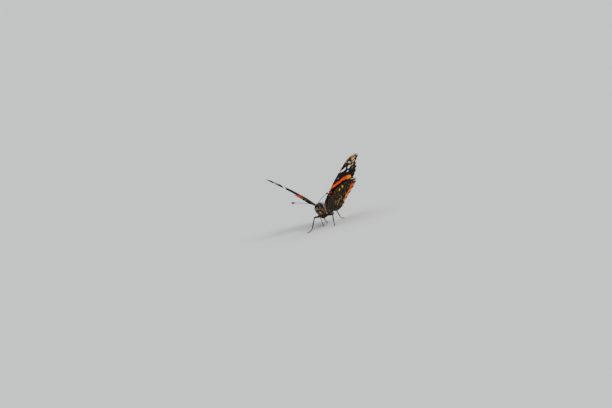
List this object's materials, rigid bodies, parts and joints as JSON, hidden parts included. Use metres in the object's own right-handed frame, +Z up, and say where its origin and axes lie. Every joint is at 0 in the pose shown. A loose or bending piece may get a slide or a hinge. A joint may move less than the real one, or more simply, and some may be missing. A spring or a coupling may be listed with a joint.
{
  "type": "red admiral butterfly",
  "caption": "Life-size still model of a red admiral butterfly, standing on its walking legs with its wings half raised in a V and its proboscis lowered.",
  "frame": {"origin": "middle of the outline on the floor, level with the soles of the four feet", "axes": "+X towards the butterfly's left, -Y the way it faces, +Z up"},
  "size_m": [0.0508, 0.0336, 0.0321],
  "materials": {
    "coat": "short brown hair",
    "abdomen": "matt dark scales",
    "eye": "glossy brown",
    "horn": "satin black",
    "leg": "satin brown",
    "forewing": "matt scales",
    "hindwing": "matt scales"
  },
  "bodies": {
    "root": {"thorax": "coat", "head": "coat", "palp_left": "coat", "palp_right": "coat", "abdomen": "abdomen", "eye_left": "eye", "eye_right": "eye", "antenna_left": "horn", "antenna_right": "horn", "proboscis": "horn", "forewing_left": "forewing", "forewing_right": "forewing", "hindwing_left": "hindwing", "hindwing_right": "hindwing", "foreleg_left": "leg", "foreleg_right": "leg", "midleg_left_femur": "horn", "midleg_left_tibia": "leg", "midleg_left_tarsus": "leg", "midleg_right_femur": "horn", "midleg_right_tibia": "leg", "midleg_right_tarsus": "leg", "hindleg_left_femur": "horn", "hindleg_left_tibia": "leg", "hindleg_left_tarsus": "leg", "hindleg_right_femur": "horn", "hindleg_right_tibia": "leg", "hindleg_right_tarsus": "leg"}
  },
  "joints": []
}
